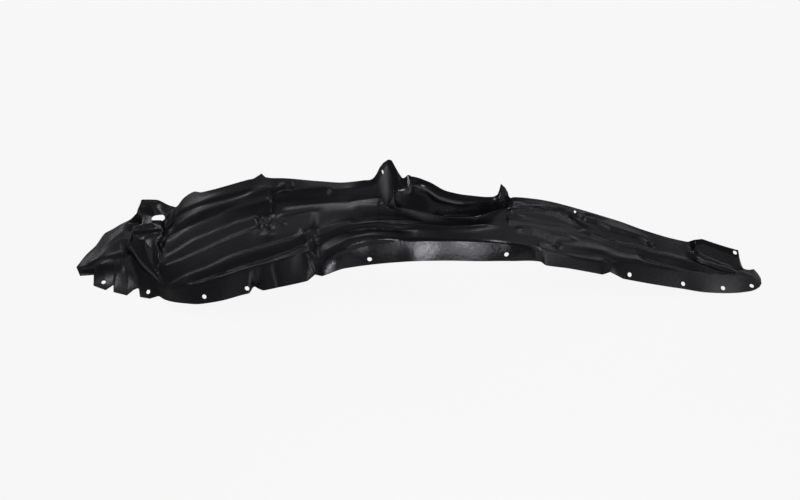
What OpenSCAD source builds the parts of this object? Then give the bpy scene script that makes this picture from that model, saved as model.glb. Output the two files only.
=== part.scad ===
// Front wheel arch liner, one thermoformed sheet, laid on a floor with its arch opened out.
// X runs along the part from the front tip to the rear tongue.
// Y runs across it from the wing flange to the inner edge, and Z is up.
// The origin is at the middle of the bounding box, on the floor.

/* [Sheet] */
// Overall length of the liner, mm
liner_len = 1194; // [900:1:1400]
// Overall width of the liner, mm
liner_w = 209; // [160:1:300]
// Thickness of the sheet, mm
wall_t = 2; // [1.6:0.1:3]

/* [Arch] */
// Rise of the wing edge at the middle of the arch, mm
arch_rise = 118; // [60:1:180]
// Offset of the crown from the middle of the part, mm
arch_x = 22; // [-40:1:60]
// Height of the tread's inner shoulder above the wing edge at the crown, mm
tread_h = 47; // [36:1:60]

/* [Pressed forms] */
// Height of the wing flange at the crown, mm
flange_h = 32; // [20:1:44]
// Height of the strut recess wall above the tread, mm
recess_h = 40; // [24:1:60]
// Height of the tall ear beside the strut recess, mm
ear_h = 114; // [90:1:150]
// Height of the raised front panel above the apron, mm
panel_h = 14; // [6:1:20]
// Height of the stiffening ribs, as a share of the drawn height
rib_share = 1; // [0.4:0.05:1.5]
// Height of the rear bracket box above the tongue, mm
box_h = 22; // [12:1:32]

/* [Fixings] */
// Diameter of the clip holes, mm
hole_d = 8; // [5:0.1:10]
// Length of the drain slot in the front panel, mm
slot_l = 24; // [14:0.5:32]
// Width of the drain slot in the front panel, mm
slot_w = 11; // [6:0.5:14]
// Diameter of the small locating hole, mm
locating_d = 5; // [3:0.1:8]

/* [Output] */
// Which sub-part is drawn

/* [Hidden] */
$fn = 48;
// length and width that the outline below is drawn at, and the run of its arch
drawn_len = 1194;
drawn_w = 209;
arch_run = 0.486 * drawn_len;
// scale factors that carry the drawn outline to the chosen size
kx = liner_len / drawn_len;
ky = liner_w / drawn_w;
kf = flange_h / 32;
kt = tread_h / 47;
kw = recess_h / 40;
ke = ear_h / 114;
kb = box_h / 22;

// Guide lines of the sheet: station along X, place across Y, height above the arch line.
// wing edge, with the three front tabs
edge_line = [
    [-598, 2, 0], [-590, -16, 0], [-566, -14, 0], [-564, -38, 0], [-542, -48, 0], [-529.5, -37, 0],
    [-528, -52, -1], [-504, -60, -2], [-494, -49, -2], [-487, -45.5, -2], [-484, -48, -2],
    [-481, -64, -4], [-464, -69, -6], [-448, -65, -7], [-438, -73, -8], [-401, -92, -3],
    [-369, -102, 0], [-338, -103, 0], [-291, -99, 0], [-245, -99, 0], [-200, -98, 0], [-161, -92, 0],
    [-123, -81, -2.5], [-40, -80, -2.5], [-5, -81.5, 0], [85, -79, 0], [153, -70, 0], [205, -61, 0],
    [215, -67, 0], [258, -64, 0], [352, -62, 0], [448, -60, 0], [496, -58, -4], [524, -57, -3],
    [549, -55, -2], [575, -51, 0], [584, -47, 0], [591, -42, 0], [594.5, -38, 0], [596, -34, 0]
];
// fold between the wing flange and the tread
fold_line = [
    [-598, 2.4, 0], [-590, -7, 2], [-565, -6, 8], [-553, 0, 12], [-535, 9, 14], [-510, 15, 17],
    [-475, -25, 12], [-441, -60, 8], [-421, -74, 16], [-382, -78, 28], [-337, -81, 32], [-294, -75, 36],
    [-258, -74, 36], [-217, -71, 38], [-190, -65, 38], [-180, -74, 26], [-169, -83, 14],
    [-153, -79, 20], [-139, -76, 25], [-124, -74, 30.5], [-107, -70, 34], [-80, -65.5, 34],
    [-44, -63.5, 34], [-10, -62, 32], [35, -62, 32], [110, -58, 31], [144, -56, 29], [176, -56, 22],
    [197, -54, 16], [205, -54, 22], [255, -57, 20], [304, -52, 18], [358, -37, 17], [442, -32, 13],
    [487, -27, 11], [547, -25, 7.5], [577, -29, 3.5], [590, -32, 1], [596, -31.5, 0]
];
// lip of the fold, where the tread begins
lip_line = [
    [-598, 2.5, 0], [-590, -5, 2.5], [-565, -4, 8.7], [-553, 2, 12.7], [-535, 11, 14.7],
    [-510, 17, 17.7], [-475, -23, 12.7], [-441, -56, 9.5], [-421, -68, 18], [-382, -72, 30],
    [-337, -75, 34], [-294, -69, 38], [-258, -70, 37.5], [-217, -68, 39], [-185, -62, 37],
    [-169, -74, 22], [-153, -72, 25], [-139, -70, 28.5], [-124, -69, 32.5], [-107, -66, 35],
    [-80, -62, 35], [-44, -60, 35], [-10, -58.5, 33], [35, -59, 33], [110, -55, 32], [144, -53, 30.5],
    [176, -51, 27], [205, -50, 24], [255, -53, 21.5], [304, -48, 19.5], [358, -33, 18.5],
    [442, -28, 14.5], [487, -23, 12.5], [547, -22, 8.5], [577, -26.5, 4], [590, -30, 1.1],
    [596, -29.5, 0]
];
// crease on the inner shoulder of the tread
shoulder_line = [
    [-598, 2.6, 0], [-590, 0, 4], [-566, 6, 12], [-536, 32, 22], [-513, 42, 28], [-485, 27, 26],
    [-461, 2, 24], [-442, -23, 30], [-386, -5, 42], [-354, 9, 44], [-321, 28, 46], [-279, 30, 47],
    [-223, 23, 47], [-168, 26, 46], [-103, 23, 44], [-70, 24, 44], [-66, 24, 43], [-60, 15, 43],
    [-54, 6, 42.5], [-52, 4, 42.3], [-48, 3.5, 42.3], [-43, 2, 42.5], [-40, 1, 42.5], [-30, -2.5, 42],
    [-19, -5, 42], [15, -16, 42], [47, -22, 42], [91, -19, 42], [123, -4, 42], [151, 11, 40],
    [189, 21, 38], [222, 25, 37], [259, 18, 35], [288, 6, 32], [316, -2, 29], [347, -3, 27],
    [435, -6, 21], [504, -14, 15], [552, -14, 10], [577, -20, 5], [590, -26.5, 1.5], [596, -26.5, 0]
];
// foot of the upper band, of the recess wall and of the rear box
foot_line = [
    [-598, 2.7, 0], [-590, 5, 4], [-568, 20, 10], [-537, 46, 24], [-515, 59, 30], [-486, 49, 28],
    [-458, 33, 28], [-434, 18, 38], [-378, 37, 50], [-308, 57, 56], [-269, 51, 58], [-203, 43, 60],
    [-125, 31, 54], [-78, 30, 48], [-70, 30, 48], [-66, 28.5, 45.5], [-60, 19.4, 45], [-54, 9.3, 43.8],
    [-52, 6.2, 43.5], [-43, 4.2, 43.3], [-30, 0, 43], [-19, -2.5, 43], [15, -13, 43], [47, -20, 43],
    [91, -17, 43], [123, -2, 43], [151, 13, 41], [189, 24, 41], [244, 28, 42], [291, 15, 38],
    [339, 9, 31], [400, 6, 26], [479, 7, 20], [510, 0, 17], [542, -9, 12], [577, -16, 5],
    [590, -23, 1.5], [596, -25, 0]
];
// head of the recess wall and of the rear box
head_line = [
    [-598, 2.8, 0], [-590, 12, 4], [-569, 33, 8], [-539, 60, 22], [-516, 73, 28], [-490, 81, 26],
    [-461, 70, 26], [-437, 56, 36], [-379, 67, 60], [-309, 81, 66], [-269, 73, 70], [-203, 56, 70],
    [-125, 40, 64], [-78, 41, 60], [-70, 41, 60], [-66, 40, 68.5], [-60, 40, 86.8], [-54, 40, 105.6],
    [-52, 32, 98], [-48, 19, 86], [-43, 9.2, 77.2], [-34, 12, 75], [-24, 13.5, 73], [-16, 16, 77],
    [-13, 20, 84], [-7, 18, 84], [10, 8, 83], [36, -10, 80], [68, -17, 80], [121, -14, 80],
    [143, -4, 76], [151, 16, 56], [160, 26, 45], [189, 29, 46], [245, 33, 45], [292, 24, 41],
    [340, 21, 36], [400, 18, 29], [454, 14, 25], [474, 15, 23], [480, 12, 36], [493, 13, 40],
    [534, 3, 35], [556, -4, 29], [562, -6, 12], [567, -9, 6], [577, -11, 4], [590, -18, 1],
    [596, -23.5, 0]
];
// inner edge, with both ears of the strut recess
inner_line = [
    [-598, 3, 0], [-585, 29, 0], [-571, 49, 0], [-553, 73, 10], [-539, 76, 17], [-524, 80, 25],
    [-508, 85, 30], [-494, 91, 40], [-489, 104, 39], [-461, 99, 41], [-440, 92, 42], [-427, 89, 44],
    [-411, 101, 54], [-394, 106, 60], [-378, 98, 64], [-344, 95, 70], [-297, 96, 74], [-285, 95, 75],
    [-271, 100, 78], [-264, 92, 75], [-233, 80, 76], [-168, 61, 70], [-124, 52, 66], [-93, 50, 67],
    [-84, 50, 66], [-78, 50, 69], [-72, 50, 78.5], [-70, 50.5, 83.5], [-66, 52.2, 92.9],
    [-60, 49.5, 105.7], [-54, 47.9, 112.7], [-51, 48.9, 113.5], [-46, 47.7, 112.3], [-42, 41.9, 107.1],
    [-35, 31.7, 97.9], [-29, 24.5, 91.4], [-25, 24, 92], [-20, 25, 97], [-16, 26, 97], [-13, 26, 93],
    [16, 16, 90], [46, -1, 86], [78, -6, 84], [110, -5, 82], [125, -3, 83], [131, 0, 86], [134, 3, 97],
    [136.5, 5, 107], [144, 8, 96], [149, 12, 81], [152, 20, 62], [156, 26, 52], [166, 32, 50],
    [198, 35, 50], [245, 38, 46], [293, 37, 42], [341, 36, 37], [389, 30, 33], [437, 27, 28],
    [469, 26, 26], [478, 22, 38], [492, 23, 42], [514, 18, 40], [536, 14, 37], [556, 12, 33],
    [561, 8, 14], [564, 0, 7], [567, -3, 3], [572, -4, 1], [579, -4, 0], [586, -2, 0], [590, -8, 0],
    [594, -16, 0], [596, -22, 0]
];

// Stretches where a line runs straight from place to place.
straight_edge = [[-600, -438]];
straight_foot = [[-70, -30]];
straight_head = [[-288, -260], [-72, -10], [125, 158], [469, 566]];

// Ribs (above 0) and valleys (below 0): height, reach on the near side, reach on the far side,
// run-in, run-out, then the places the line passes through.
ribs = [
    // front of the tread
    [4.5, 15, 6, 15, 15, [[-436, -66], [-401, -60], [-359, -54], [-318, -43], [-268, -38], [-230, -34], [-184, -30]]],
    [-3.5, 6, 9, 12, 18, [[-434, -60], [-401, -55], [-359, -48], [-318, -37], [-244, -30], [-200, -26]]],
    [3.5, 14, 6, 8, 25, [[-437, -31], [-403, -27], [-369, -18], [-353, -12], [-320, -3], [-268, 6]]],
    [-2.5, 6, 10, 8, 25, [[-437, -25], [-403, -21], [-369, -12], [-353, -6], [-320, 3], [-268, 12]]],
    [2.5, 10, 5, 8, 8, [[-437, -13], [-412, -4], [-388, 7], [-362, 13], [-313, 27], [-276, 28]]],
    [-2.5, 5, 8, 8, 8, [[-437, -9], [-412, 0], [-388, 11], [-362, 17], [-313, 31], [-276, 33]]],
    [-3.5, 5, 5, 6, 30, [[-440, 26], [-423, 34], [-406, 37], [-384, 42], [-356, 49], [-331, 54], [-300, 57]]],
    [3, 6, 7, 20, 3, [[-345, 50], [-322, 54], [-283, 51], [-256, 50]]],
    [3, 9, 8, 12, 15, [[-425, 44], [-407, 51], [-373, 57], [-339, 63], [-296, 67], [-250, 66]]],
    [-4, 5, 5, 6, 14, [[-441, 49], [-430, 60], [-417, 69], [-391, 70], [-340, 73], [-285, 75]]],
    [-7, 6, 12, 25, 8, [[-400, -73], [-358, -69], [-316, -65], [-290, -62], [-255, -58], [-217, -52], [-189, -42]]],
    // middle of the tread
    [3.5, 9, 8, 6, 12, [[-202, -26], [-196, -25], [-159, -19], [-125, -19], [-108, -18]]],
    [4.5, 5, 8, 5, 30, [[-180, -35], [-150, -31], [-109, -28], [-75, -29], [-8, -36], [53, -40], [87, -36]]],
    [-5, 8, 5, 4, 40, [[-178, -41], [-167, -39], [-141, -37], [-118, -35], [-86, -34], [-40, -40], [0, -44]]],
    [3, 11, 8, 15, 25, [[-165, -62], [-135, -54], [-105, -48], [-75, -43], [-40, -43], [-10, -42]]],
    [2.5, 4, 6, 10, 4, [[-240, 19], [-213, 20], [-150, 24], [-125, 19], [-100, 23], [-74, 18]]],
    // rear of the tread
    [2.5, 6, 6, 6, 15, [[148, -13], [164, -11], [215, -8], [263, -4], [295, -4]]],
    [2.5, 6, 5, 15, 20, [[160, -26], [192, -20], [215, -23], [238, -22], [273, -19]]],
    [2.5, 6, 4, 5, 25, [[153, 8], [193, 21], [233, 24], [264, 14], [295, -3], [342, -10], [406, -11], [542, -28]]],
    [3, 5, 10, 10, 6, [[232, -42], [261, -37], [301, -31], [333, -35], [379, -31], [430, -33], [471, -42]]],
    [-5, 8, 8, 20, 30, [[262, 21], [293, 18], [323, 14], [355, 10], [396, 6]]],
    [-3.5, 6, 6, 20, 20, [[375, -20], [396, -23], [431, -25], [465, -25], [500, -27], [532, -31]]]
];
// Bosses pressed up from the sheet: height, middle, half sizes along and across.
bosses = [
    [9, [-229, 63], [15, 11]]
];

// Relief notches in the wing edge: station, depth, run on the left, run on the right.
notches = [
    [-279, 11, 8, 16],
    [-175, 9, 12, 12],
    [327, 9, 14, 22]
];

// Clip holes: station and place on the guide scale, from 0 at the wing edge to 6 at the inner edge.
holes = [
    [-547, 0.28],
    [-467, 0.3],
    [-365, 0.32],
    [-291, 0.22],
    [-83, 0.27],
    [147, 0.37],
    [361, 0.3],
    [456, 0.28],
    [527, 0.27],
    [578, 0.45],
    [-62, 5.4],
    [550, 5.6]
];
// Small locating hole in the upper band: station and place on the guide scale.
locating_hole = [268, 4.97];
// Drain slot in the front panel: station and place on the guide scale.
slot_at = [-455, 5.0];

// stations where the sheet is laid out, closer at the tabs, notches, ears and box
function steps(a, b, n) = [for (i = [0 : n - 1]) a + (b - a) * i / n];
stations = concat(
    [-598, -590, -578, -566, -564, -553, -542, -535, -529.5, -528, -516, -504, -499, -494, -490, -487],
    [-484, -481, -472, -464, -456, -448, -443, -438, -430],
    steps(-421, -296, 9),
    [-296],
    [-287, -279, -271, -264],
    steps(-256, -187, 6),
    [-187, -181, -175, -169, -163],
    steps(-154, -78, 6),
    [-78, -70, -66, -60, -54, -52, -48, -43, -40, -34, -29, -22, -16, -13],
    steps(-5, 121, 9),
    [121, 126, 131, 134, 136.5, 140, 144, 149, 152, 156, 166, 180, 194, 205, 210, 216],
    steps(228, 313, 5),
    [313, 320, 327, 334, 341, 349],
    steps(362, 469, 6),
    [469, 474, 478, 483, 492],
    steps(503, 536, 3),
    [536, 549, 556, 561, 564, 567, 572, 579, 586, 590, 594, 596]
);
x_first = stations[0];
x_last = stations[len(stations) - 1];
// places across the sheet: guide below plus the share of the way to the next one
across = concat([0, 0.33, 0.67, 1], steps(2, 3, 10), [3, 3.5, 4, 4.5, 5, 5.33, 5.67, 6]);

function clamp(v, lo, hi) = max(lo, min(hi, v));
function soft(t) = let (c = clamp(t, 0, 1)) c * c * (3 - 2 * c);

// height of the arch line over the floor
function arch_z(x) = arch_rise * (1 + cos(180 * min(1, abs(x - arch_x / kx) / arch_run))) / 2;

// smooth curve through the places of a guide line, without overshoot between them
function cell(t, x, lo, hi) = hi - lo <= 1 ? lo
    : let (m = floor((lo + hi) / 2)) x < t[m][0] ? cell(t, x, lo, m) : cell(t, x, m, hi);
function secant(t, i, c) = (t[i + 1][c] - t[i][c]) / (t[i + 1][0] - t[i][0]);
function tangent(t, i, c) = i <= 0 ? secant(t, 0, c)
    : i >= len(t) - 1 ? secant(t, len(t) - 2, c)
    : let (a = secant(t, i - 1, c), b = secant(t, i, c)) a * b <= 0 ? 0 : 2 * a * b / (a + b);
function is_in(x, spans) = len([for (p = spans) if (x >= p[0] && x <= p[1]) 1]) > 0;
function along(t, x, c, straight = []) = let (
        i = cell(t, x, 0, len(t) - 1),
        h = t[i + 1][0] - t[i][0],
        s = clamp((x - t[i][0]) / h, 0, 1),
        r = 1 - s
    ) is_in(x, straight) ? t[i][c] * r + t[i + 1][c] * s
    : t[i][c] * (1 + 2 * s) * r * r + tangent(t, i, c) * h * s * r * r
    + t[i + 1][c] * s * s * (3 - 2 * s) - tangent(t, i + 1, c) * h * s * s * r;

// bite of the relief notches out of the wing edge
function bite(x) = max([for (n = notches) n[1] * max(0, 1 - abs(x - n[0]) / (x < n[0] ? n[2] : n[3]))]);

// raised front panel, with its upper step: left and right border, at places across the sheet
panel_left = [
    [-61, -438], [-54, -453], [-40, -472], [-10, -502], [3, -512], [32, -500], [57, -498], [63, -487], [125, -487]
];
panel_right = [[-61, -438], [-32, -450], [0, -446], [45, -444], [70, -442], [85, -431], [125, -418]];
function panel_lift(x, y) = soft((x - lookup(y, panel_left)) / 5 + 0.5) * soft((lookup(y, panel_right) - x) / 7 + 0.5)
    * panel_h * (0.4 + 0.75 * soft((y + 60) / 100) + 0.35 * soft((y - 38) / 5));

// sum of the ribs and bosses at one place
function press(d, near, far) = exp(-pow(abs(d) / (d > 0 ? far : near), 1.7));
function rib_at(r, x, y) = let (p = r[5], last = p[len(p) - 1][0])
    x < p[0][0] - 2 || x > last + 2 ? 0
    : r[0] * soft((x - p[0][0] + 2) / r[3]) * soft((last + 2 - x) / r[4]) * press(y - lookup(x, p), r[1], r[2]);
function boss_at(b, x, y) = b[0] * pow(max(0, 1 - norm([(x - b[1][0]) / b[2][0], (y - b[1][1]) / b[2][1]])), 1.2);
function total(list, i = 0) = i >= len(list) ? 0 : list[i] + total(list, i + 1);
function swell_at(x, y) = total(concat([for (r = ribs) rib_at(r, x, y)], [for (b = bosses) boss_at(b, x, y)]));

// the seven guides at one station: edge, fold, lip of the fold, shoulder, foot, head, inner edge
function guide_at(g, x) = let (z = arch_z(x))
    g == 0 ? [along(edge_line, x, 1, straight_edge) + bite(x), z + kf * along(edge_line, x, 2, straight_edge)]
    : g == 1 ? [along(fold_line, x, 1), z + kf * along(fold_line, x, 2)]
    : g == 2 ? [along(lip_line, x, 1), z + kf * along(lip_line, x, 2)]
    : g == 3 ? [along(shoulder_line, x, 1, straight_foot), z + kt * along(shoulder_line, x, 2, straight_foot)]
    : g == 4 ? [along(foot_line, x, 1, straight_foot), z + kt * along(foot_line, x, 2, straight_foot)]
    : let (t = g == 5 ? head_line : inner_line)
            [along(t, x, 1, straight_head), z + rise(x, foot_at(x), along(t, x, 2, straight_head))];
function foot_at(x) = along(foot_line, x, 2, straight_foot);
// walls above the foot follow the recess, ear and box heights
function rise(x, low, high) = kt * low + (high - low)
    * (x > -78 && x < -29 ? ke : x >= -29 && x < 154 ? kw : x > 469 ? kb : kt);

// ribs fade out at the wing flange, at the inner edge and on the recess wall
function fade(x, v) = soft((x < -442 ? v / 0.4 : (v - 0.9) / 0.8)) * soft((5.9 - v) / 0.5)
    * (1 - soft((x + 75) / 12) * soft((156 - x) / 6) * soft((v - 3) * 5));

// one place on the upper face of the sheet
function face(x, v) = let (
        g = min(5, floor(v)),
        a = guide_at(g, x),
        b = guide_at(g + 1, x),
        s = v - g,
        y = a[0] + (b[0] - a[0]) * s,
        z = a[1] + (b[1] - a[1]) * s,
        lift = v >= 2 ? panel_lift(x, y) : 0,
        share = fade(x, v) * rib_share * kt,
        swell = share > 0 ? share * swell_at(x, y) : 0
    ) [x * kx, y * ky, z + lift + swell];

// unit normal of the upper face
function unit(v) = v / norm(v);
function normal_at(x, v) = let (
        dx = 1.5,
        dv = 0.04,
        p = face(clamp(x - dx, x_first, x_last), v),
        q = face(clamp(x + dx, x_first, x_last), v),
        r = face(x, clamp(v - dv, 0, 6)),
        s = face(x, clamp(v + dv, 0, 6))
    ) unit(cross(q - p, s - r));

nx = len(stations);
nv = len(across);
top_pts = [for (x = stations) [for (v = across) face(x, v)]];
function grid_normal(i, j) = unit(cross(
    top_pts[min(nx - 1, i + 1)][j] - top_pts[max(0, i - 1)][j],
    top_pts[i][min(nv - 1, j + 1)] - top_pts[i][max(0, j - 1)]));
low_pts = [for (i = [0 : nx - 1]) [for (j = [0 : nv - 1]) top_pts[i][j] - grid_normal(i, j) * wall_t]];

// move that puts the origin at the middle of the bounding box, on the floor
all_pts = concat([for (r = top_pts) each r], [for (r = low_pts) each r]);
function reach(c, side) = side > 0 ? max([for (p = all_pts) p[c]]) : min([for (p = all_pts) p[c]]);
place = [-(reach(0, 1) + reach(0, -1)) / 2, -(reach(1, 1) + reach(1, -1)) / 2, -reach(2, -1)];

// the formed sheet as one closed skin
module sheet() {
    function id(side, i, j) = side * nx * nv + i * nv + j;
    upper = [for (i = [0 : nx - 2]) for (j = [0 : nv - 2]) each [
        [id(0, i, j), id(0, i + 1, j + 1), id(0, i + 1, j)],
        [id(0, i, j), id(0, i, j + 1), id(0, i + 1, j + 1)]
    ]];
    lower = [for (i = [0 : nx - 2]) for (j = [0 : nv - 2]) each [
        [id(1, i, j), id(1, i + 1, j), id(1, i + 1, j + 1)],
        [id(1, i, j), id(1, i + 1, j + 1), id(1, i, j + 1)]
    ]];
    sides = [for (i = [0 : nx - 2]) each [
        [id(0, i, 0), id(0, i + 1, 0), id(1, i + 1, 0)],
        [id(0, i, 0), id(1, i + 1, 0), id(1, i, 0)],
        [id(0, i, nv - 1), id(1, i + 1, nv - 1), id(0, i + 1, nv - 1)],
        [id(0, i, nv - 1), id(1, i, nv - 1), id(1, i + 1, nv - 1)]
    ]];
    ends = [for (j = [0 : nv - 2]) each [
        [id(0, 0, j), id(1, 0, j + 1), id(0, 0, j + 1)],
        [id(0, 0, j), id(1, 0, j), id(1, 0, j + 1)],
        [id(0, nx - 1, j), id(0, nx - 1, j + 1), id(1, nx - 1, j + 1)],
        [id(0, nx - 1, j), id(1, nx - 1, j + 1), id(1, nx - 1, j)]
    ]];
    polyhedron(points = all_pts, faces = concat(upper, lower, sides, ends), convexity = 10);
}

// turn and move a cutter so that its axis is square to the sheet
module square_to(p, n) {
    translate(p)
        rotate([0, acos(n[2]), atan2(n[1], n[0])])
            children();
}

module round_hole(at, d) {
    square_to(face(at[0], at[1]), normal_at(at[0], at[1]))
        translate([0, 0, -4 * wall_t])
            cylinder(d = d, h = 8 * wall_t);
}

module clip_holes() {
    for (h = holes) round_hole(h, hole_d);
    round_hole(locating_hole, locating_d);
}

module drain_slot() {
    square_to(face(slot_at[0], slot_at[1]), normal_at(slot_at[0], slot_at[1]))
        linear_extrude(height = 10 * wall_t, center = true)
            hull() {
                translate([-(slot_l - slot_w) / 2, 0]) circle(d = slot_w);
                translate([(slot_l - slot_w) / 2, 0]) circle(d = slot_w);
            }
}

module liner_shell() {
    color([0.05, 0.05, 0.055]) translate(place)
        difference() {
            sheet();
            clip_holes();
            drain_slot();
        }
}

liner_shell();
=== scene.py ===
import math

import bmesh
import bpy
import numpy as np
from mathutils import Matrix, Vector


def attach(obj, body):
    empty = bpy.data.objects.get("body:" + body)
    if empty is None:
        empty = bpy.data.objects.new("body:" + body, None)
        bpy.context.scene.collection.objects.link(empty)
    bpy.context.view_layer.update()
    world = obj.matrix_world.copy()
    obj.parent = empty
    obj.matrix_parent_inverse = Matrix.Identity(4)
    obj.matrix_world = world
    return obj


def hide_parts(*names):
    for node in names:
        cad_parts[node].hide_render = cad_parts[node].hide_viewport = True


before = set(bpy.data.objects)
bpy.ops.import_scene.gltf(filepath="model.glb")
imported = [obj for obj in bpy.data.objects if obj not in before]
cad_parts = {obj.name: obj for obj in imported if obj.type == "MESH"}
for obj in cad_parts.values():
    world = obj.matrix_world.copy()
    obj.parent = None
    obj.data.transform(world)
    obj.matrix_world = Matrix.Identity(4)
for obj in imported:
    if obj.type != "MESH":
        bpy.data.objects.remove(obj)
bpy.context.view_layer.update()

bl_info = {
    "name": "Wheel arch liner",
    "version": (1, 0, 0),
    "blender": (4, 5, 0),
    "location": "3D View > Sidebar > Liner",
    "description": "Builds a formed wheel arch liner with its finish and a studio stage",
    "category": "Object",
}

MM = 0.001
NODE = "liner_shell"
# move from the drawn places to the shared frame, and the point the camera looks at, in mm
SHIFT = (1.0, -1.427, 2.068)
CAMERA_AIM = (-32.0 + SHIFT[0], -34.0 + SHIFT[1], 90.0 + SHIFT[2])

# The sheet is drawn in mm. Stations run along X, and the guide scale runs across the sheet:
# 0 wing edge, 1 fold, 2 lip, 3 shoulder, 4 foot and 5 head of the recess wall, 6 inner edge.

# Guide lines: station along X, place across Y, height above the arch line
EDGE_LINE = [
    [-598, 2, 0], [-590, -16, 0], [-566, -14, 0], [-564, -38, 0], [-542, -48, 0], [-529.5, -37, 0],
    [-528, -52, -1], [-504, -60, -2], [-494, -49, -2], [-487, -45.5, -2], [-484, -48, -2],
    [-481, -64, -4], [-464, -69, -6], [-448, -65, -7], [-438, -73, -8], [-401, -92, -3],
    [-369, -102, 0], [-338, -103, 0], [-291, -99, 0], [-245, -99, 0], [-200, -98, 0],
    [-161, -92, 0], [-123, -81, -2.5], [-40, -80, -2.5], [-5, -81.5, 0], [85, -79, 0],
    [153, -70, 0], [205, -61, 0], [215, -67, 0], [258, -64, 0], [352, -62, 0], [448, -60, 0],
    [496, -58, -4], [524, -57, -3], [549, -55, -2], [575, -51, 0], [584, -47, 0], [591, -42, 0],
    [594.5, -38, 0], [596, -34, 0],
]
FOLD_LINE = [
    [-598, 2.4, 0], [-590, -7, 2], [-565, -6, 8], [-553, 0, 12], [-535, 9, 14], [-510, 15, 17],
    [-475, -25, 12], [-441, -60, 8], [-421, -74, 16], [-382, -78, 28], [-337, -81, 32],
    [-294, -75, 36], [-258, -74, 36], [-217, -71, 38], [-194, -66, 37], [-182, -73, 27],
    [-168, -81, 15], [-153, -77, 17.6], [-139, -73, 21.4], [-124, -70.5, 26.3],
    [-107, -66.5, 29.8], [-80, -63, 31], [-44, -62, 32.2], [-10, -62, 32], [35, -62, 32],
    [110, -58, 31], [144, -56, 29], [176, -56, 22], [197, -54, 16], [205, -54, 22], [255, -57, 20],
    [304, -52, 18], [358, -37, 17], [442, -32, 13], [487, -27, 11], [547, -25, 7.5],
    [577, -29, 3.5], [590, -32, 1], [596, -31.5, 0],
]
# lip of the fold, where the tread begins
LIP_LINE = [
    [-598, 2.5, 0], [-590, -5, 2.5], [-565, -4, 8.7], [-553, 2, 12.7], [-535, 11, 14.7],
    [-510, 17, 17.7], [-475, -23, 12.7], [-441, -56, 9.5], [-421, -68, 18], [-382, -72, 30],
    [-337, -75, 34], [-294, -69, 38], [-258, -70, 37.5], [-217, -68, 39], [-185, -62, 37],
    [-169, -73, 24], [-153, -68, 29], [-139, -64.5, 35], [-124, -61, 40], [-107, -58, 43],
    [-80, -56, 42.5], [-44, -56, 39], [-10, -57, 34.5], [35, -59, 33], [110, -55, 32],
    [144, -53, 30.5], [176, -51, 27], [205, -50, 24], [255, -53, 21.5], [304, -48, 19.5],
    [358, -33, 18.5], [442, -28, 14.5], [487, -23, 12.5], [547, -22, 8.5], [577, -26.5, 4],
    [590, -30, 1.1], [596, -29.5, 0],
]
SHOULDER_LINE = [
    [-598, 2.6, 0], [-590, 0, 4], [-566, 6, 12], [-536, 32, 22], [-513, 42, 28], [-485, 27, 26],
    [-461, 2, 24], [-442, -23, 30], [-386, -5, 42], [-354, 9, 44], [-321, 28, 46], [-279, 30, 47],
    [-223, 23, 47], [-168, 26, 46], [-103, 23, 44], [-70, 24, 44], [-66, 24, 43], [-60, 15, 43],
    [-54, 6, 42.5], [-52, 4, 42.3], [-48, 3.5, 42.3], [-43, 2, 42.5], [-40, 1, 42.5],
    [-30, -2.5, 42], [-19, -5, 42], [15, -16, 42], [47, -22, 42], [91, -19, 42], [123, -4, 42],
    [151, 11, 40], [189, 21, 38], [222, 25, 37], [259, 18, 35], [288, 6, 32], [316, -2, 29],
    [347, -3, 27], [435, -6, 21], [504, -14, 15], [552, -14, 10], [577, -20, 5], [590, -26.5, 1.5],
    [596, -26.5, 0],
]
FOOT_LINE = [
    [-598, 2.7, 0], [-590, 5, 4], [-568, 20, 10], [-537, 46, 24], [-515, 59, 30], [-486, 49, 28],
    [-458, 33, 28], [-434, 18, 38], [-378, 37, 50], [-308, 57, 56], [-269, 51, 58], [-203, 43, 60],
    [-125, 31, 54], [-78, 30, 48], [-70, 30, 48], [-66, 28.5, 45.5], [-60, 19.4, 45],
    [-54, 9.3, 43.8], [-52, 6.2, 43.5], [-48, 7.7, 60.7], [-43, 8.8, 75.5], [-40, 3.5, 43.5],
    [-30, 0, 43], [-19, -2.5, 43], [15, -13, 43], [47, -20, 43], [91, -17, 43], [123, -2, 43],
    [151, 13, 41], [189, 24, 41], [244, 28, 42], [291, 15, 38], [339, 9, 31], [400, 6, 26],
    [479, 7, 20], [510, 0, 17], [542, -9, 12], [577, -16, 5], [590, -23, 1.5], [596, -25, 0],
]
HEAD_LINE = [
    [-598, 2.8, 0], [-590, 12, 4], [-569, 33, 8], [-539, 60, 22], [-516, 73, 28], [-490, 81, 26],
    [-461, 70, 26], [-437, 56, 36], [-379, 67, 60], [-309, 81, 66], [-269, 73, 70], [-203, 56, 70],
    [-125, 40, 64], [-78, 41, 60], [-70, 41, 60], [-66, 40, 68.5], [-60, 40, 86.8],
    [-54, 40, 105.6], [-52, 34.4, 100.4], [-48, 23, 89.8], [-43, 9.2, 77.2], [-34, 12, 75],
    [-24, 13, 75.5], [-14, 14, 78], [-4, 14, 81], [10, 8, 83], [36, -10, 80], [68, -17, 80],
    [121, -14, 80], [143, -4, 76], [151, 16, 56], [160, 26, 45], [189, 29, 46], [245, 33, 45],
    [292, 24, 41], [340, 21, 36], [400, 18, 29], [454, 14, 25], [474, 15, 23], [480, 12, 36],
    [493, 13, 40], [534, 3, 35], [556, -4, 29], [562, -6, 12], [567, -9, 6], [577, -11, 4],
    [590, -18, 1], [596, -23.5, 0],
]
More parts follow.
